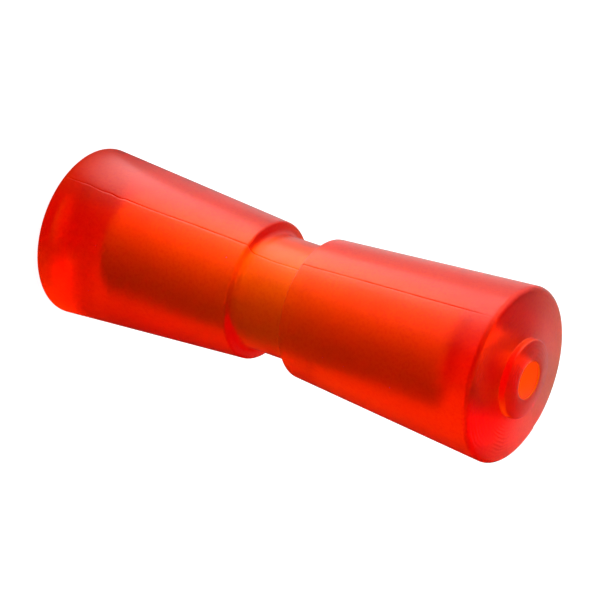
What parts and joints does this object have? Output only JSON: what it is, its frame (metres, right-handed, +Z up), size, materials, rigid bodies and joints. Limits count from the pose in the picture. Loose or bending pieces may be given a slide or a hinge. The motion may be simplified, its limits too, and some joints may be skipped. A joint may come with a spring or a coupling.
{
  "type": "boat trailer keel roller",
  "caption": "Translucent red keel roller for a boat trailer, tapering inward to a narrow grooved waist, with a raised hub on each end face and an axle bore through its length.",
  "frame": {"origin": "on the roller's axis, in the plane of the lower hub land on which it stands on end", "axes": "+Z up along the axle bore; +X through one of the two moulding lines"},
  "size_m": [0.08, 0.08, 0.249],
  "materials": {
    "roller": "translucent red flexible polymer, smooth satin moulded skin"
  },
  "bodies": {
    "root": {"roller": "roller"}
  },
  "joints": []
}
